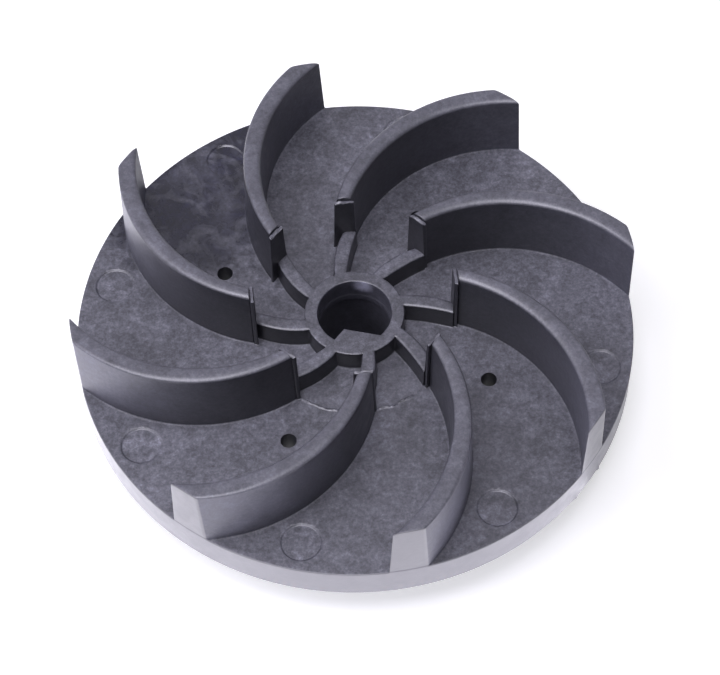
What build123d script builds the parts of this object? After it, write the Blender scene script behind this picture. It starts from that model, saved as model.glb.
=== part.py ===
"""Semi-open centrifugal pump impeller, moulded in one piece from glass-filled plastic.

Eight vanes with two-arc sides stand on a plain disc. A low hub and eight curved ribs
fill the eye, and a boss on the back carries the rest of the bore.

Frame: the shaft axis is Z. The origin is the centre of the back boss's face, which is
what the part rests on, and the vanes open upwards.
"""

from build123d import *
import os

os.makedirs("parts", exist_ok=True)

# Disc and hub, in millimetres
impeller_radius = 70.0
disc_thickness = 9.8
bore_radius = 19.05 / 2
mouth_radius = 9.3
mouth_depth = 8.0
hub_radius = 12.5
hub_rise = 6.2
boss_radius = 15.0
boss_length = 10.0
boss_edge_chamfer = 0.8
rim_edge_chamfer = 0.5
bore_edge_chamfer = 0.5

# Vanes: angles in degrees; arc centres are given with the vane's tip lying on +X
vane_count = 8
first_vane_angle = 9.6
vane_height = 19.5
vane_draft = 1.5
vane_back_centre = (34.9, -22.4)
vane_back_radius = 43.9
vane_back_angles = (30, 118)
vane_face_centre = (33.2, -25.1)
vane_face_radius = 41.5
vane_face_angles = (20, 116)
vane_edge_round = 1.1
eye_radius = 25.9
vane_root_depth = 1.0
vane_overhang = 1.0

# Flash left on each vane's inner end by the joint round the mould's centre insert
flash_inner_radius = 24.7
flash_outer_radius = 26.1
flash_height = 18.7
flash_past_back = 0.3
flash_past_face = 0.9

# Ribs from the hub to the vanes' inner ends, flush with the top of the hub
rib_back_points = ((19.6, 16.5), (14.0, 15.2), (5.4, 9.7))
rib_face_points = ((21.6, 13.4), (14.0, 10.7), (7.9, 7.5))
rib_draft = 2.0
rib_edge_round = 0.5

# Flat pad across the front of the bore's mouth
flat_distance = 5.25
flat_turn = -13.4
flat_start = -1.5
flat_start_at_wall = -4.8

# Through holes in every other passage, and ejector marks in all of them
hole_radius = 2.0
hole_circle_radius = 37.0
hole_angle = 53.0
mark_radius = 4.9
mark_circle_radius = 62.5
mark_angle = 22.2
mark_depth = 0.35

# Heights of the main faces
disc_back = boss_length
disc_top = disc_back + disc_thickness
hub_top = disc_top + hub_rise
vane_root = disc_top - vane_root_depth
vane_top = disc_top + vane_height
flash_top = disc_top + flash_height


def vane_outline(past_back, past_face):
    """Crescent between the vane's two side arcs, grown past each side by its own amount."""
    back_start, back_end = vane_back_angles
    face_start, face_end = vane_face_angles
    with BuildSketch(Plane.XY.offset(vane_root)) as outline:
        with BuildLine():
            back = CenterArc(
                vane_back_centre, vane_back_radius + past_back, back_start, back_end - back_start
            )
            face = CenterArc(
                vane_face_centre, vane_face_radius - past_face, face_start, face_end - face_start
            )
            Line(back @ 0, face @ 0)
            Line(back @ 1, face @ 1)
        make_face()
    return outline.sketch


def ease_long_edges(piece, round_radius, shortest):
    """Break a piece's long top edges with three narrow flats that follow a round."""
    top_edges = piece.edges().group_by(Axis.Z)[-1]
    first_cut = (2 - 2**0.5) * round_radius
    chamfer(top_edges.filter_by(lambda edge: edge.length > shortest), length=first_cut)
    cut_edges = piece.edges().filter_by(lambda edge: edge.length > shortest)
    above_wall = cut_edges.filter_by(
        lambda edge: edge.bounding_box().min.Z > piece.part.bounding_box().max.Z - 1.1 * first_cut
    )
    chamfer(above_wall, length=0.37 * first_cut)


# One vane: drafted from its root in the disc, round the eye at its inner end, over-long at the rim
with BuildPart() as vane:
    extrude(vane_outline(0, 0), amount=vane_top - vane_root, taper=vane_draft)
    with BuildSketch(Plane.XY.offset(vane_root)) as vane_reach:
        Circle(impeller_radius + vane_overhang)
        Circle(eye_radius, mode=Mode.SUBTRACT)
    extrude(amount=vane_top - vane_root, mode=Mode.INTERSECT)
    ease_long_edges(vane, vane_edge_round, shortest=20.0)

# The flash that edges one vane's inner end
with BuildPart() as flash:
    extrude(
        vane_outline(flash_past_back, flash_past_face),
        amount=flash_top - vane_root,
        taper=vane_draft,
    )
    with BuildSketch(Plane.XY.offset(vane_root)) as flash_ring:
        Circle(flash_outer_radius)
        Circle(flash_inner_radius, mode=Mode.SUBTRACT)
    extrude(amount=flash_top - vane_root, mode=Mode.INTERSECT)

# One rib of the eye
with BuildPart() as rib:
    with BuildSketch(Plane.XY.offset(disc_top)) as rib_outline:
        with BuildLine():
            rib_back = ThreePointArc(*rib_back_points)
            rib_face = ThreePointArc(*rib_face_points)
            Line(rib_back @ 0, rib_face @ 0)
            Line(rib_back @ 1, rib_face @ 1)
        make_face()
    extrude(amount=hub_rise, taper=rib_draft)
    ease_long_edges(rib, rib_edge_round, shortest=6.0)

with BuildPart() as impeller:
    # Disc, hub and back boss are one turned form, bored from the back up to the mouth
    with BuildSketch(Plane.XZ) as section:
        with BuildLine():
            Polyline(
                (bore_radius, 0),
                (boss_radius, 0),
                (boss_radius, disc_back),
                (impeller_radius, disc_back),
                (impeller_radius, disc_top),
                (hub_radius, disc_top),
                (hub_radius, hub_top),
                (0, hub_top),
                (0, hub_top - mouth_depth),
                (bore_radius, hub_top - mouth_depth),
                close=True,
            )
        make_face()
        corner_chamfers = (
            (boss_radius, 0, boss_edge_chamfer),
            (impeller_radius, disc_back, rim_edge_chamfer),
            (bore_radius, 0, bore_edge_chamfer),
        )
        for corner_radius, corner_height, chamfer_length in corner_chamfers:
            corner = section.vertices().sort_by_distance((corner_radius, corner_height))[0]
            chamfer(corner, length=chamfer_length)
    revolve(axis=Axis.Z)

    # Mouth of the bore, a circle with a flat pad left across its front
    with BuildSketch(Plane.XY.offset(hub_top).rotated((0, 0, flat_turn))) as mouth:
        Circle(mouth_radius)
        with BuildLine():
            Polyline(
                (flat_start, -flat_distance),
                (hub_radius, -flat_distance),
                (hub_radius, -hub_radius),
                (flat_start_at_wall, -hub_radius),
                close=True,
            )
        make_face(mode=Mode.SUBTRACT)
    extrude(amount=-mouth_depth - bore_edge_chamfer, mode=Mode.SUBTRACT)

    # Balance holes, one in every second passage
    with BuildSketch(Plane.XY.offset(disc_top)):
        with PolarLocations(
            hole_circle_radius, vane_count // 2, start_angle=first_vane_angle + hole_angle
        ):
            Circle(hole_radius)
    extrude(amount=-disc_thickness, mode=Mode.SUBTRACT)

    # Shallow ejector marks, one in each passage
    with BuildSketch(Plane.XY.offset(disc_top)):
        with PolarLocations(
            mark_circle_radius, vane_count, start_angle=first_vane_angle + mark_angle
        ):
            Circle(mark_radius)
    extrude(amount=-mark_depth, mode=Mode.SUBTRACT)

    # Ribs, vanes and their flash, each once round for every passage
    for repeated in (rib, vane, flash):
        with PolarLocations(0, vane_count, start_angle=first_vane_angle):
            add(repeated.part)

    # Vane ends trimmed flush with the rim
    with BuildSketch(Plane.XY) as rim:
        Circle(impeller_radius)
    extrude(amount=vane_top, mode=Mode.INTERSECT)

impeller.part.label = "impeller"
export_step(impeller.part, "parts/impeller.step")
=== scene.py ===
"""Semi-open pump impeller, moulded in one piece from dark glass-filled plastic.

The moulding is one closed mesh. Its rows run from the bore's mouth over the hub, the eye,
the vanes and the rim, round the back and up the bore, and its columns follow the vanes.
"""

import math

import bpy
import numpy as np
from mathutils import Matrix, Vector, noise


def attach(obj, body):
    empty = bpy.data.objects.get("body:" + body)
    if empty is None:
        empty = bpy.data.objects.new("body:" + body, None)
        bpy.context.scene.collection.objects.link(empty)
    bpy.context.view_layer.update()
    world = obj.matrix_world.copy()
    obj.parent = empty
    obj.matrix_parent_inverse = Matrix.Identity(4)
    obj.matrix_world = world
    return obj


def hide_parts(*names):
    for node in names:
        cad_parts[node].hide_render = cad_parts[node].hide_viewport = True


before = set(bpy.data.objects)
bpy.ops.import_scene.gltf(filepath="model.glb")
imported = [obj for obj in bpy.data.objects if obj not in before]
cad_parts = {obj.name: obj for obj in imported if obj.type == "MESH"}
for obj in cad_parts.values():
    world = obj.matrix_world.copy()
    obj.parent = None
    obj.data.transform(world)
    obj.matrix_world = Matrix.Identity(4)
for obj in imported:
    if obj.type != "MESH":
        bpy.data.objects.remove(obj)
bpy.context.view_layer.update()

# ---------------------------------------------------------------------------------------
# Camera: a long lens in front of the impeller, looking down on its open side with a slight
# roll.
# ---------------------------------------------------------------------------------------
millimetre = 0.001
camera_aim = Vector((1.178, -3.562, 19.8)) * millimetre
camera_distance = 596.84 * millimetre
camera_elevation = math.radians(57.58)
camera_roll = math.radians(-1.695)

camera_lens = bpy.data.cameras.new("camera")
camera_lens.sensor_width = 36.0
camera_lens.lens = 118.8
camera_lens.clip_end = 10.0
camera = bpy.data.objects.new("camera", camera_lens)
bpy.context.scene.collection.objects.link(camera)
bpy.context.scene.camera = camera
towards_camera = Vector((0, -math.cos(camera_elevation), math.sin(camera_elevation)))
camera.matrix_world = (
    Matrix.Translation(camera_aim + towards_camera * camera_distance)
    @ Matrix.Rotation(math.radians(90) - camera_elevation, 4, "X")
    @ Matrix.Rotation(camera_roll, 4, "Z")
)

# ---------------------------------------------------------------------------------------
# The moulding: disc, hub, eight ribs, eight vanes and the back boss, shot in one mould
# from glass-filled plastic. Its walls are drafted, their feet are filleted and the vanes'
# top edges rounded, and the rim and the vanes' ends are turned to size together.
# ---------------------------------------------------------------------------------------
# Sizes are in millimetres, and each side is an arc's centre and radius, with the tip on +X
vane_count = 8
sector = 2 * math.pi / vane_count
first_vane_angle = math.radians(9.6)
impeller_radius = 70.0
disc_back = 10.0
disc_top = 19.8
hub_radius = 12.5
hub_rise = 6.2

vane = {
    "back": ((34.9, -22.4), 43.9),
    "face": ((33.2, -25.1), 41.5),
    "height": 19.5,
    "draft": math.radians(1.5),
    "foot": 0.35,
    "back_round": 1.1,
    "face_round": 1.25,
    "round_width": 1.5,
    "back_tightens": 0.6,
    "face_tightens": 0.2,
}
flash = {
    **vane,
    "back": ((34.9, -22.4), 44.2),
    "face": ((33.2, -25.1), 40.6),
    "height": 18.7,
    "foot": 0.25,
    "back_round": 0.25,
    "face_round": 0.3,
    "round_width": 1.0,
}
rib = {
    "back": ((22.08, -6.92), 23.55),
    "face": ((35.42, -37.54), 52.78),
    "height": hub_rise,
    "draft": math.radians(2.0),
    "foot": 0.3,
    "back_round": 0.6,
    "face_round": 0.6,
    "round_width": 1.5,
    "back_tightens": 0.0,
    "face_tightens": 0.0,
}

foot_turns = np.radians([0, 30, 60, 90])
wall_shares = np.linspace(0, 1, 6)[1:-1]
edge_turns = np.radians([0, 18, 36, 54, 72, 90])
edge_tightens_from = 45.0
top_shares = np.linspace(0, 1, 7)[1:-1]
side_stations = len(foot_turns) + len(wall_shares) + len(edge_turns)
arch_stations = 2 * side_stations + len(top_shares)
floor_steps = 34
foot_strip = 0.018
even_shares = np.linspace(0, 1, floor_steps + 1)[1:-1]
floor_shares = np.concatenate([[foot_strip], even_shares, [1 - foot_strip]])
stations = arch_stations + len(floor_shares)


def crossing(circle, growth, reach):
    """Angle at which a side's circle, grown by growth, crosses the circle of that reach."""
    (x, y), radius = circle
    away = math.hypot(x, y)
    cosine = (reach**2 + away**2 - (radius + growth) ** 2) / (2 * reach * away)
    return math.atan2(y, x) + np.arccos(cosine)


def side(form, name, reach, inset, drop):
    """Angles and heights of one side's stations, from its foot to its top edge."""
    outward = 1 if name == "back" else -1
    past_start = reach[-1] - edge_tightens_from
    towards_tip = np.clip(past_start / (impeller_radius - edge_tightens_from), 0, 1)
    edge = form[name + "_round"] * (1 - form[name + "_tightens"] * towards_tip)
    height = form["height"] - inset
    lean = math.tan(form["draft"])
    foot_out = form["foot"] * (1 - np.sin(foot_turns)) - inset
    foot_height = form["foot"] * (1 - np.cos(foot_turns)) - drop
    wall_height = foot_height[-1] + (height - edge - foot_height[-1]) * wall_shares
    edge_width = edge * form["round_width"]
    edge_out = -lean * (height - edge) - edge_width * (1 - np.cos(edge_turns)) - inset
    edge_height = height - edge * (1 - np.sin(edge_turns))
    out = np.concatenate([foot_out, -inset - lean * wall_height, edge_out])
    heights = np.concatenate([foot_height, wall_height, edge_height])
    return crossing(form[name], outward * out, reach), heights


def arch(form, reach, inset=0.0, drop=0.0):
    """Section of a vane or rib along a circle about the shaft, from foot to foot."""
    reach = np.broadcast_to(reach, arch_stations)
    face_angles, face_heights = side(form, "face", reach[:side_stations], inset, drop)
    back_angles, back_heights = side(form, "back", reach[-side_stations:][::-1], inset, drop)
    first, last = face_angles[-1], back_angles[-1]
    angles = [face_angles, first + (last - first) * top_shares, back_angles[::-1]]
    heights = [face_heights, np.full(len(top_shares), form["height"] - inset), back_heights[::-1]]
    return np.concatenate(angles), np.concatenate(heights)


def mix(first, second, share):
    """Value this share of the way from the first to the second."""
    return first + (second - first) * share


def feet(form, reach):
    """Angles of the feet on both sides of the passage that follows a vane."""
    leaving = crossing(form["back"], form["foot"], reach)
    arriving = crossing(form["face"], -form["foot"], reach) + sector
    return leaving, arriving


steps_held_by_feet = 5
steps_from_feet = np.minimum(floor_shares, 1 - floor_shares) * floor_steps
away_from_feet = np.clip(steps_from_feet / steps_held_by_feet, 0, 1)
floor_freedom = away_from_feet**2 * (3 - 2 * away_from_feet)
rows = []


def add_row(reach, angle, height):
    """Adds one closed row of the mesh, the same in every sector."""
    turn = first_vane_angle + sector * np.arange(vane_count)[:, None]
    shape = (vane_count, stations)
    angle = np.broadcast_to(angle, stations) + turn
    rows.append((np.broadcast_to(reach, shape), angle, np.broadcast_to(height, shape)))


def add_section(reach, floor_reach, form, second=None, share=0.0, inset=0.0, drop=0.0):
    """Adds a row across one vane or rib, or between two forms, and the passage beside it."""
    second = second or form
    arch_angle, arch_height = (
        mix(a, b, share)
        for a, b in zip(arch(form, reach, inset, drop), arch(second, reach, inset, drop))
    )
    floor = mix(reach, floor_reach, floor_freedom)
    leaving, arriving = (
        mix(a, b, share) for a, b in zip(feet(form, floor), feet(second, floor))
    )
    floor_angle = mix(leaving, arriving, floor_shares)
    floor_height = np.full(len(floor_shares), -drop)
    add_row(
        np.concatenate([np.full(arch_stations, reach), floor]),
        np.concatenate([arch_angle, floor_angle]),
        disc_top + np.concatenate([arch_height, floor_height]),
    )


# Hub top and hub wall, inwards to outwards: the wall rises only between the ribs
hub_foot = 0.3
hub_edge = 0.35
column_turn = math.radians(50.3)
quarter = np.radians([30, 60, 90])
valley_profile = [(11.0, hub_rise), (11.6, hub_rise)]
valley_profile += [
    (hub_radius - hub_edge * (1 - math.cos(a)), hub_rise - hub_edge * (1 - math.sin(a)))
    for a in quarter[::-1]
]
valley_profile += [(hub_radius, height) for height in (5.85, 4.6, 3.2, 1.8)]
valley_profile += [
    (hub_radius + hub_foot * (1 - math.sin(a)), hub_foot * (1 - math.cos(a)))
    for a in quarter[::-1]
]
valley_profile += [(13.0, 0), (13.6, 0), (14.6, 0)]
column_shares = (np.arange(stations) - arch_stations // 2) / stations
uniform_angles = column_turn + sector * column_shares
innermost = valley_profile[0][0]
outermost = valley_profile[-1][0]

for index, (valley_reach, valley_height) in enumerate(valley_profile):
    even_reach = mix(innermost, outermost, index / (len(valley_profile) - 1))
    _, rib_height = arch(rib, even_reach)
    lift = rib_height / hub_rise
    reach = mix(valley_reach, even_reach, lift)
    angle, _ = arch(rib, reach)
    leaving, arriving = feet(rib, valley_reach)
    floor_angle = mix(leaving, arriving, floor_shares)
    angle = np.concatenate([angle, floor_angle])
    # Up the wall, the stations of the feet and floor spread out between the ribs' top edges
    rib_edge_face = angle[side_stations - 1]
    rib_edge_back = angle[arch_stations - side_stations]
    spread = np.arange(arch_stations - side_stations, stations + side_stations)
    spread_angle = np.linspace(rib_edge_back, rib_edge_face + sector, len(spread))
    even = angle.copy()
    for station, even_angle in zip(spread, spread_angle):
        wrapped = station % stations
        even[wrapped] = even_angle - (sector if station >= stations else 0)
    angle = mix(angle, even, valley_height / hub_rise)
    floor_reach = np.full(len(floor_shares), valley_reach)
    floor_height = np.full(len(floor_shares), valley_height)
    height = np.concatenate([rib_height + (1 - lift) * valley_height, floor_height])
    add_row(np.concatenate([reach, floor_reach]), angle, disc_top + height)

# Eye: ribs on the disc's floor, out to the vanes' inner ends
for reach in np.linspace(15.5, 23.4, 9):
    add_section(reach, reach, rib)

# Vanes' inner ends: each end wall rises from the rib, edged by a lip of flash, and steps
# back to the vane itself
lip_start = 24.7
lip_end = 25.7
lip_edge = 0.2
vane_end_edge = 0.3
vane_start = lip_end + 0.04
end_sections = [(lip_start - 0.5, rib, rib, 0, 0), (lip_start - 0.1, rib, rib, 0, 0)]
end_sections += [
    (lip_start - 0.08 + 0.1 * share, rib, flash, share, lip_edge)
    for share in np.linspace(0.2, 1, 5)
]
end_sections += [
    (lip_start + 0.02 + lip_edge * math.sin(a), flash, flash, 0, lip_edge * (1 - math.sin(a)))
    for a in quarter
]
end_sections += [(lip_end - 0.25, flash, flash, 0, 0), (lip_end - 0.1, flash, flash, 0, 0.06)]
end_sections += [(lip_end, flash, flash, 0, 0.25), (vane_start, vane, vane, 0, vane_end_edge)]
for a in quarter:
    reach = vane_start + vane_end_edge * (1 - math.cos(a))
    end_sections.append((reach, vane, vane, 0, vane_end_edge * (1 - math.sin(a))))
for index, (reach, form, second, share, inset) in enumerate(end_sections):
    floor_reach = mix(lip_start - 0.7, lip_start + 2.3, index / (len(end_sections) - 1))
    add_section(reach, floor_reach, form, second, share, inset)

# Vanes, out to the rim
rim_edge = 0.3
for reach in np.linspace(27.9, impeller_radius - rim_edge, 48):
    add_section(reach, reach, vane)

# Rim's top edge, then the vane ends and the rim as one upright band
for a in quarter:
    reach = impeller_radius - rim_edge * (1 - math.sin(a))
    inset = rim_edge * (1 - math.cos(a))
    add_section(reach, reach, vane, inset=inset, drop=inset)
_, outline_angle, outline_height = rows[-1]
outline_angle = outline_angle[0] - first_vane_angle
outline_height = outline_height[0]
band_angle = outline_angle.copy()
band_angle[:arch_stations] = np.linspace(
    outline_angle[0], outline_angle[arch_stations - 1], arch_stations
)
band_height = disc_top - 1.5
band_rows = 10
for share in np.linspace(0, 1, band_rows + 1)[1:]:
    add_row(
        impeller_radius,
        mix(outline_angle, band_angle, share),
        mix(outline_height, band_height, share),
    )

# Rim, back face, back boss and bore, turned through to where the columns stand upright
rim_back_edge = 0.5
boss_radius = 15.0
boss_edge = 0.8
bore_radius = 9.525
bore_edge = 0.5
mouth_bottom = disc_top + hub_rise - 8.0
for height in np.linspace(band_height, disc_back + rim_back_edge, 5)[1:]:
    add_row(impeller_radius, band_angle, height)
back_rows = 10
for share in np.linspace(0, 1, back_rows):
    reach = mix(impeller_radius - rim_back_edge, boss_radius, share)
    add_row(reach, mix(band_angle, uniform_angles, share), disc_back)
back_profile = [(boss_radius, height) for height in (7.0, 3.5, boss_edge)]
back_profile += [(boss_radius - boss_edge, 0), (12.5, 0), (bore_radius + bore_edge, 0)]
back_profile += [(bore_radius, height) for height in (bore_edge, 4.5, 9, 13.5, mouth_bottom)]
for reach, height in back_profile:
    add_row(reach, uniform_angles, height)

# Mouth of the bore, with a flat pad across its front
mouth_radius = 9.3
mouth_edge = 0.3
flat_distance = 5.25
flat_turn = math.radians(-13.4)
flat_end = (-1.5, -flat_distance)
flat_end_at_wall = (-4.8, -12.5)
mouth_angles = uniform_angles + first_vane_angle + sector * np.arange(vane_count)[:, None]
across = np.cos(mouth_angles - flat_turn)
along = np.sin(mouth_angles - flat_turn)
end_run = np.subtract(flat_end_at_wall, flat_end)
end_side = across * end_run[1] - along * end_run[0]
end_reach = (flat_end[0] * end_run[1] - flat_end[1] * end_run[0]) / end_side
flat_reach = flat_distance / np.maximum(-along, 0.1)
beside_pad = (along > 0) | (end_side > 0)
past_corner = np.maximum(flat_reach, np.where(end_side < 0, end_reach, 0))
mouth_reach = np.where(beside_pad, mouth_radius, np.minimum(past_corner, mouth_radius))
for height in (mouth_bottom, 20.0, 22.0, 24.0, disc_top + hub_rise - mouth_edge):
    rows.append((mouth_reach, mouth_angles, np.full(mouth_reach.shape, height)))
for a in quarter:
    rows.append(
        (
            mouth_reach + mouth_edge * (1 - math.cos(a)),
            mouth_angles,
            np.full(mouth_reach.shape, disc_top + hub_rise - mouth_edge * (1 - math.sin(a))),
        )
    )
inner_reach, inner_angle, _ = (np.asarray(values) for values in rows[0])
for share in (0.35, 0.7):
    rows.append(
        (
            mix(mouth_reach + mouth_edge, inner_reach, share),
            mix(mouth_angles, inner_angle, share),
            np.full(mouth_reach.shape, disc_top + hub_rise),
        )
    )

grid = np.array([[np.asarray(v).ravel() for v in row] for row in rows])
reaches, angles, heights = grid[:, 0], grid[:, 1], grid[:, 2]
row_count, column_count = reaches.shape


def ripple(size, seed):
    """Smooth noise from about -1 to 1 at every corner of the mesh, with waves of this size."""
    x, y = reaches * np.cos(angles) / size, reaches * np.sin(angles) / size
    corners = zip(x.ravel(), y.ravel(), heights.ravel() / size + seed)
    return np.array([noise.noise(corner) for corner in corners]).reshape(reaches.shape)


# What the mould leaves: the floor and the vane tops are not quite flat, the lips are ragged,
# the joint round the centre insert shows as a broken ridge, and two burrs hang on the rim
slow_wave_length = 9.0
quick_wave_length = 2.5
sharp_wave_length = 0.8
floor_inner_reach = 13.2
floor_outer_reach = 69.0
floor_wave = 0.05
top_sink = 0.07
lip_ragged = 0.45
seam_reach = 25.2
seam_half_width = 0.34
seam_height = 0.42
seam_angles = np.radians([-124, -57])
burr_angles = np.radians([-41.1, -32.8])
burr_length = 0.35
burr_half_angle = 0.012
slow_wave = ripple(slow_wave_length, 3)
quick_wave = ripple(quick_wave_length, 11)
sharp_wave = ripple(sharp_wave_length, 23)
on_floor = (np.abs(heights - disc_top) < 1e-6) & (reaches > floor_inner_reach)
on_floor = on_floor & (reaches < floor_outer_reach)
near_seam = 1 - np.abs(reaches - seam_reach - 0.35 * quick_wave) / seam_half_width
seam_turn = np.angle(np.exp(1j * angles))
seam_shown = (seam_turn > seam_angles[0]) & (seam_turn < seam_angles[1])
seam_broken = np.clip(0.6 + 1.3 * sharp_wave, 0, 1)
seam_ridge = seam_height * np.clip(near_seam, 0, 1) * seam_broken * seam_shown
heights = heights + on_floor * (floor_wave * (slow_wave + 0.4 * quick_wave) + seam_ridge)
on_vane_top = heights > disc_top + vane["height"] - 0.2
heights = heights - on_vane_top * top_sink * (0.5 + 0.5 * slow_wave)
on_lip = (reaches > lip_start - 0.05) & (reaches < lip_end + 0.02)
on_lip = on_lip & (heights > disc_top + flash["height"] - 1.0)
heights = heights - on_lip * lip_ragged * np.clip(0.5 + sharp_wave + 0.5 * quick_wave, 0, 1)
on_rim_foot = (reaches > 69.4) & (heights < disc_back + 1.2)
for burr_angle in burr_angles:
    past_burr = np.abs(np.angle(np.exp(1j * (angles - burr_angle))))
    near_burr = np.clip(1 - past_burr / burr_half_angle, 0, 1)
    reaches = reaches + on_rim_foot * burr_length * near_burr

points = np.stack([reaches * np.cos(angles), reaches * np.sin(angles), heights], -1)
corner = np.arange(row_count * column_count).reshape(row_count, column_count)
next_row = np.roll(corner, -1, 0)
next_column = np.roll(corner, -1, 1)
next_both = np.roll(next_row, -1, 1)
faces = np.stack([corner, next_row, next_both, next_column], -1).reshape(-1, 4)

moulding_mesh = bpy.data.meshes.new("impeller_moulding")
moulding_mesh.from_pydata((points.reshape(-1, 3) * millimetre).tolist(), [], faces.tolist())
moulding_mesh.validate()
moulding = bpy.data.objects.new("impeller_moulding", moulding_mesh)
bpy.context.scene.collection.objects.link(moulding)

# Balance holes, one in every second passage, and a shallow ejector mark in each
hole_circle_radius = 37.0
hole_radius = 2.0
hole_angle = math.radians(53.0)
mark_circle_radius = 62.5
mark_radius = 4.9
mark_angle = math.radians(22.2)
mark_depth = 0.35
sharp_from = math.radians(40)
# Each cutter's profile, as growth of its radius and height over the disc's floor
hole_profile = [(0, 2), (0, disc_back - disc_top - 1)]
mark_profile = [(0.6, 2), (0.2, 0.02), (0.1, -0.05), (-0.05, -0.17), (-0.2, -0.28)]
mark_profile.append((-0.4, -mark_depth))
cuts = [
    (hole_circle_radius, hole_angle + 2 * sector * i, hole_radius, hole_profile)
    for i in range(vane_count // 2)
]
cuts += [
    (mark_circle_radius, mark_angle + sector * i, mark_radius, mark_profile)
    for i in range(vane_count)
]
cut_points = []
cut_faces = []
cut_sides = 48
for circle_radius, angle, radius, profile in cuts:
    centre = circle_radius * np.array(
        [math.cos(angle + first_vane_angle), math.sin(angle + first_vane_angle)]
    )
    rings = []
    for growth, height in profile:
        rings.append(range(len(cut_points), len(cut_points) + cut_sides))
        for turn in np.linspace(0, 2 * math.pi, cut_sides, endpoint=False):
            x, y = centre + (radius + growth) * np.array([math.cos(turn), math.sin(turn)])
            cut_points.append((x * millimetre, y * millimetre, (disc_top + height) * millimetre))
    cut_faces += [list(rings[0]), list(rings[-1])[::-1]]
    for upper, lower in zip(rings, rings[1:]):
        cut_faces += [
            [lower[i], lower[(i + 1) % cut_sides], upper[(i + 1) % cut_sides], upper[i]]
            for i in range(cut_sides)
        ]
cutter_mesh = bpy.data.meshes.new("cutter")
cutter_mesh.from_pydata(cut_points, [], cut_faces)
cutter = bpy.data.objects.new("cutter", cutter_mesh)
bpy.context.scene.collection.objects.link(cutter)
cutting = moulding.modifiers.new("holes", "BOOLEAN")
cutting.operation = "DIFFERENCE"
cutting.solver = "EXACT"
cutting.object = cutter
evaluated = moulding.evaluated_get(bpy.context.evaluated_depsgraph_get())
cut_mesh = bpy.data.meshes.new_from_object(evaluated)
moulding.modifiers.clear()
moulding.data = cut_mesh
cut_mesh.name = "impeller_moulding"
bpy.data.objects.remove(cutter)
cut_mesh.shade_smooth()
cut_mesh.set_sharp_from_angle(angle=sharp_from)
weighting = moulding.modifiers.new("even shading", "WEIGHTED_NORMAL")
weighting.keep_sharp = True


class Socket:
    """One shader value. Arithmetic on it adds Math nodes, and node() adds any other node."""

    def __init__(self, tree, source=None):
        self.tree = tree
        self.source = source

    def node(self, kind, settings, output=0, **values):
        """A new node's output, after its settings and then its sockets' values or links."""
        made = self.tree.nodes.new(kind)
        for name, value in settings.items():
            setattr(made, name, value)
        inputs = {socket.identifier.replace(" ", "_"): socket for socket in made.inputs}
        for name, value in values.items():
            if isinstance(value, Socket):
                self.tree.links.new(value.source, inputs[name])
            else:
                inputs[name].default_value = value
        return Socket(self.tree, made.outputs[output])

    def math(self, operation, first, second=0.0):
        settings = {"operation": operation}
        return self.node("ShaderNodeMath", settings, Value=first, Value_001=second)

    def __add__(self, other):
        return self.math("ADD", self, other)

    def __sub__(self, other):
        return self.math("SUBTRACT", self, other)

    def __mul__(self, other):
        return self.math("MULTIPLY", self, other)

    def __radd__(self, other):
        return self.math("ADD", other, self)

    def __rsub__(self, other):
        return self.math("SUBTRACT", other, self)

    def __rmul__(self, other):
        return self.math("MULTIPLY", other, self)

    def step(self, low, high):
        """Smooth step of this value, from 0 at low to 1 at high."""
        settings = {"interpolation_type": "SMOOTHSTEP"}
        return self.node("ShaderNodeMapRange", settings, Value=self, From_Min=low, From_Max=high)

    def into(self, shader, name):
        """Links this value to a socket of the shader."""
        self.tree.links.new(self.source, shader.inputs[name])


# Dark plastic skin: glass fibre makes it cloudy where it faced the flat of the mould. The upright
# walls get a darker colour, partly the mould's polish and partly painted shade. The lathe cut
# that trims the rim bares lighter grey.
skin_colour = (0.108, 0.108, 0.130, 1)
wall_polish_and_shade_colour = (0.054, 0.054, 0.069, 1)
stain_colour = (0.006, 0.006, 0.020, 1)
cut_colour = (0.162, 0.160, 0.176)
plastic = bpy.data.materials.new("glass_filled_plastic")
plastic.use_nodes = True
shader = plastic.node_tree.nodes["Principled BSDF"]
shader.inputs["Specular IOR Level"].default_value = 0.35
start = Socket(plastic.node_tree)
place = start.node("ShaderNodeTexCoord", {}, "Object")
surface_height = start.node("ShaderNodeSeparateXYZ", {}, "Z", Vector=place)
flat_place = start.node(
    "ShaderNodeVectorMath", {"operation": "MULTIPLY"}, 0, Vector=place, Vector_001=(1, 1, 0)
)
surface_reach = start.node(
    "ShaderNodeVectorMath", {"operation": "LENGTH"}, "Value", Vector=flat_place
)
facing = start.node("ShaderNodeNewGeometry", {}, "Normal")
up_share = start.node("ShaderNodeSeparateXYZ", {}, "Z", Vector=facing)
upward = up_share.step(0.3, 0.9)
upright = 1 - upward


def above_floor(low, high):
    """0 below the first height over the disc's floor, and 1 above the second."""
    return surface_height.step((disc_top + low) * millimetre, (disc_top + high) * millimetre)


def beyond(low, high):
    """0 within the first distance from the shaft, and 1 past the second."""
    return surface_reach.step(low * millimetre, high * millimetre)


def distance_to(point, position=place):
    """Distance of the surface from this point."""
    settings = {"operation": "DISTANCE"}
    point = tuple(Vector(point) * millimetre)
    return start.node(
        "ShaderNodeVectorMath", settings, "Value", Vector=position, Vector_001=point
    )


def cloud(scale, detail, roughness, distortion=0.0):
    """Noise over the surface, with scale in cells to the millimetre."""
    return start.node(
        "ShaderNodeTexNoise", {}, 0, Vector=place, Scale=scale / millimetre,
        Detail=detail, Roughness=roughness, Distortion=distortion,
    )


def blend(under, over, share):
    """Colour with this share of the one over it."""
    settings = {"data_type": "RGBA"}
    return start.node(
        "ShaderNodeMix", settings, 2, Factor_Float=share, A_Color=under, B_Color=over
    )


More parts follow.
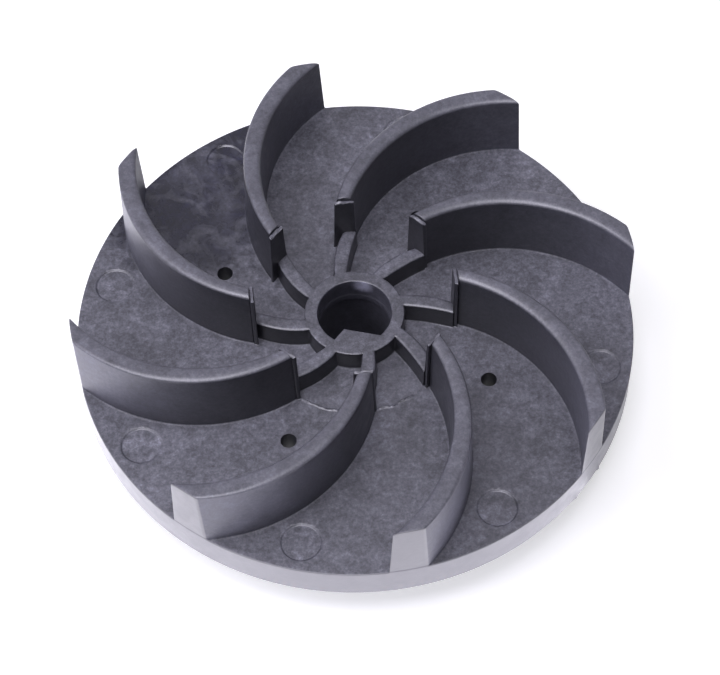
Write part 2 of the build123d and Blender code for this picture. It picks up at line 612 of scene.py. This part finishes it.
def scaled(colour, amount):
    """Colour made this many times as bright."""
    settings = {"operation": "SCALE"}
    return start.node("ShaderNodeVectorMath", settings, 0, Vector=colour, Scale=amount)


# Cloudiness, strongest on the floor, less on the vane tops and the walls. Painted light makes the
# vane tops paler, and a cloudy painted sheen lies on the floors of the ejector marks.
top_painted_light = 0.12
mark_painted_sheen = 0.16
mark_sheen_cloudier = 1.2
grain = cloud(2.2, 2.0, 0.6) - 0.5
flecks = cloud(0.9, 3.0, 0.65) - 0.5
blotches = cloud(0.3, 4.0, 0.6, 0.6) - 0.5
patches = cloud(0.07, 2.0, 0.5, 0.4) - 0.5
on_top = above_floor(hub_rise + 4, vane["height"] - 4)
mottle = grain * 1.1 + flecks * 1.7 + blotches * 1.7 + patches * 1.2
mottle = mottle * (0.45 + upward * (0.55 - on_top * 0.35))
# Painted light: the vane tops are paler than the floor, which lies in the vanes' shade.
brightness = start.math("POWER", math.e, mottle) * (1 + on_top * upward * top_painted_light)
in_mark = upward * above_floor(-1.0, -0.9) * (1 - above_floor(0.03 - mark_depth, -0.2))
# Painted sheen: the floors of the ejector marks are paler and cloudy.
brightness = brightness * (1 + in_mark * (mark_painted_sheen + blotches * mark_sheen_cloudier))

# Painted shade makes the hub a little darker, and the walls towards the eye too. Towards the rim
# the walls get painted light instead, most at their outer ends
hub_painted_shade = 0.14
inner_wall_painted_shade = 0.28
outer_wall_painted_light = 0.14
tip_painted_light = 0.45
brightness = brightness * (1 - hub_painted_shade * (1 - beyond(12, 13.5)))
wall_shade_turns_to_light = (inner_wall_painted_shade + outer_wall_painted_light) * beyond(26, 58)
brightness = brightness * (1 - upright * (inner_wall_painted_shade - wall_shade_turns_to_light))
# Painted light: the walls' outer ends are paler still.
tip_wall = upright * beyond(50, 66)
brightness = brightness * (1 + tip_wall * tip_painted_light)

# In one passage the fibre drew back from the surface and left it dark, with paler swirls. That
# passage lies outside the back of the vane before it
stain_place = (-40.0, 46.0, disc_top)
stain_ragged = 14.0
stained_vane = 2
back_centre, back_radius = vane["back"]
vane_turn = Matrix.Rotation(first_vane_angle + sector * stained_vane, 2)
vane_place = (*(vane_turn @ Vector(back_centre)), 0)
broad_swirl = cloud(0.07, 2.0, 0.5, 1.0).step(0.4, 0.74)
fine_swirl = cloud(0.13, 3.0, 0.55, 1.6).step(0.42, 0.74)
ragged_edge = (blotches + patches) * (stain_ragged * millimetre)
stain_reach = distance_to(stain_place) + ragged_edge
stain = 1 - stain_reach.step(21 * millimetre, 33 * millimetre)
past_vane = distance_to(vane_place, flat_place)
past_vane = past_vane.step((back_radius - 1.4) * millimetre, (back_radius + 0.1) * millimetre)
stain = stain * past_vane * upward
stain = stain * (1 - above_floor(0.5, 1.5))
stain = stain * (1 - start.math("MAXIMUM", broad_swirl * 0.55, fine_swirl * 0.65))
# Upright faces take the darker wall colour: partly the mould's polish, partly painted shade.
skin = blend(blend(wall_polish_and_shade_colour, skin_colour, upward), stain_colour, stain)

# Painted shade makes the walls in the eye darker, painted light makes the bore's wall paler, and
# a painted highlight lights the back of its mouth
eye_painted_shade = 0.3
bore_painted_light = 2.2
mouth_highlight_strength = 16.0
mouth_highlight_place = (2.2, 9.0, 24.3)
in_eye = (1 - beyond(24.5, 25.2)) * upright
in_bore = (1 - beyond(bore_radius - 0.2, bore_radius + 0.4)) * upright
# Painted highlight: a bright patch about 4 mm across at the back of the bore's mouth.
mouth_painted_highlight = 1 - distance_to(mouth_highlight_place).step(0.8 * millimetre, 3.4 * millimetre)
mouth_painted_highlight = mouth_painted_highlight * in_bore
painted_wall_shade_and_light = 1 - in_eye * (1 - in_bore) * eye_painted_shade
painted_wall_shade_and_light = painted_wall_shade_and_light + in_bore * bore_painted_light + mouth_painted_highlight * mouth_highlight_strength
skin = scaled(scaled(skin, brightness), painted_wall_shade_and_light)

# The cut, with painted shade making it a little darker on the vanes' ends than on the rim below
# them
end_painted_shade = 0.14
on_cut = beyond(impeller_radius - 0.25, impeller_radius - 0.1)
cut = scaled(cut_colour, 1 - above_floor(-1, 2) * end_painted_shade)
blend(skin, cut, on_cut).into(shader, "Base Color")

# Satin gloss, duller at the feet of walls and on the walls' outer ends, glossier on the stain
foot_duller = 0.45
tip_duller = 0.17
stain_glossier = 0.16
relief_depth = 0.05
sloping = 1 - up_share.step(0.93, 0.99)
at_foot = sloping * above_floor(0.01, 0.03) * (1 - above_floor(0.35, 0.8))
from_seam = start.math("ABSOLUTE", surface_reach - seam_reach * millimetre)
off_seam = from_seam.step(0.7 * millimetre, 1.1 * millimetre)
roughness = 0.36 + upward * 0.06 + blotches * 0.3
roughness = roughness + at_foot * off_seam * foot_duller - stain * stain_glossier
roughness = roughness + tip_wall * (1 - on_cut) * tip_duller
roughness.into(shader, "Roughness")
fine_relief = flecks + grain * 0.5
relief = start.node(
    "ShaderNodeBump", {}, 0, Strength=0.5, Distance=relief_depth * millimetre, Height=fine_relief
)
relief.into(shader, "Normal")
moulding.data.materials.clear()
moulding.data.materials.append(plastic)
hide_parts("impeller")
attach(moulding, "root")

# ---------------------------------------------------------------------------------------
# Floor: a plain white studio table that the boss rests on. It shows as white itself, with a
# painted shadow under the boss, where no light reaches it: there its colour goes dark and its
# white glow fades out.
# ---------------------------------------------------------------------------------------
floor_reach = 3.0
floor_drop = 0.0002
floor_corners = [
    (x * floor_reach, y * floor_reach, -floor_drop)
    for x, y in ((-1, -1), (1, -1), (1, 1), (-1, 1))
]
floor_mesh = bpy.data.meshes.new("floor")
floor_mesh.from_pydata(floor_corners, [], [(0, 1, 2, 3)])
floor = bpy.data.objects.new("floor", floor_mesh)
bpy.context.scene.collection.objects.link(floor)
white = bpy.data.materials.new("white_table")
white.use_nodes = True
table = white.node_tree.nodes["Principled BSDF"]
table_shade = 0.8
table.inputs["Roughness"].default_value = 0.9
seen_level = 0.55


def seen(tree):
    """1 for rays that show the background: to the camera, in gloss and through glass."""
    start = Socket(tree)
    camera_ray = start.node("ShaderNodeLightPath", {}, "Is Camera Ray")
    glossy_ray = start.node("ShaderNodeLightPath", {}, "Is Glossy Ray")
    clear_ray = start.node("ShaderNodeLightPath", {}, "Is Transmission Ray")
    return start.math("MAXIMUM", camera_ray, start.math("MAXIMUM", glossy_ray, clear_ray))


table.inputs["Emission Strength"].default_value = seen_level
table_start = Socket(white.node_tree)
under_disc = table_start.node("ShaderNodeNewGeometry", {}, "Position")
from_axis = table_start.node(
    "ShaderNodeVectorMath", {"operation": "LENGTH"}, "Value", Vector=under_disc
)
# Painted shadow: dark colour under the boss, and the white glow fading out within 50 mm of the
# axis.
shade = table_shade * from_axis.step(12 * millimetre, 20 * millimetre)
glow = seen(white.node_tree) * from_axis.step(14 * millimetre, 50 * millimetre)
for level, socket_name in ((shade, "Base Color"), (glow, "Emission Color")):
    grey = table_start.node("ShaderNodeCombineXYZ", {}, 0, X=level, Y=level, Z=level)
    grey.into(table, socket_name)
floor.data.materials.append(white)

# ---------------------------------------------------------------------------------------
# Light: a large soft lamp overhead, a weaker one at the back and one high on the left, a
# front lamp that only shows as gloss, and the light that a white table throws up on the
# front and left of the rim, in a dim room.
# ---------------------------------------------------------------------------------------
room_level = 0.05
background_level = 1.05
light_colour = (0.98, 0.96, 1.07)
world = bpy.data.worlds.new("room")
bpy.context.scene.world = world
world.use_nodes = True
room = world.node_tree.nodes["Background"]
room.inputs["Color"].default_value = (*light_colour, 1)
room_strength = room_level + seen(world.node_tree) * (background_level - room_level)
room_strength.into(room, "Strength")


def lamp(name, place, aim, width, depth, level):
    """A soft lamp whose face has this level of brightness, where 1 is white."""
    light = bpy.data.lights.new(name, "AREA")
    light.shape = "RECTANGLE"
    light.size = width
    light.size_y = depth
    light.energy = math.pi * width * depth * level
    light.color = light_colour
    holder = bpy.data.objects.new(name, light)
    bpy.context.scene.collection.objects.link(holder)
    holder.location = place
    holder.rotation_mode = "QUATERNION"
    holder.rotation_quaternion = (Vector(aim) - Vector(place)).to_track_quat("-Z", "Y")
    holder.visible_camera = False
    return holder


lamp("overhead", (0.0, -0.1, 1.3), camera_aim, 0.7, 0.7, 5.0)
lamp("back", (0.1, 0.8, 1.0), camera_aim, 0.8, 0.8, 0.35)
lamp("left", (-0.8, -0.05, 0.85), camera_aim, 0.75, 0.75, 3.9)
glint = lamp("glint", (-0.25, -0.5, 1.15), camera_aim, 0.9, 0.9, 15.0)
glint.visible_diffuse = False
lamp("table_left", (-0.34, -0.15, 0.002), (-0.34, -0.15, 1), 0.6, 0.8, 1.75)
lamp("table_front", (0.13, -0.34, 0.002), (0.13, -0.34, 1), 0.34, 0.6, 1.9)

bpy.context.scene.view_settings.view_transform = "Standard"
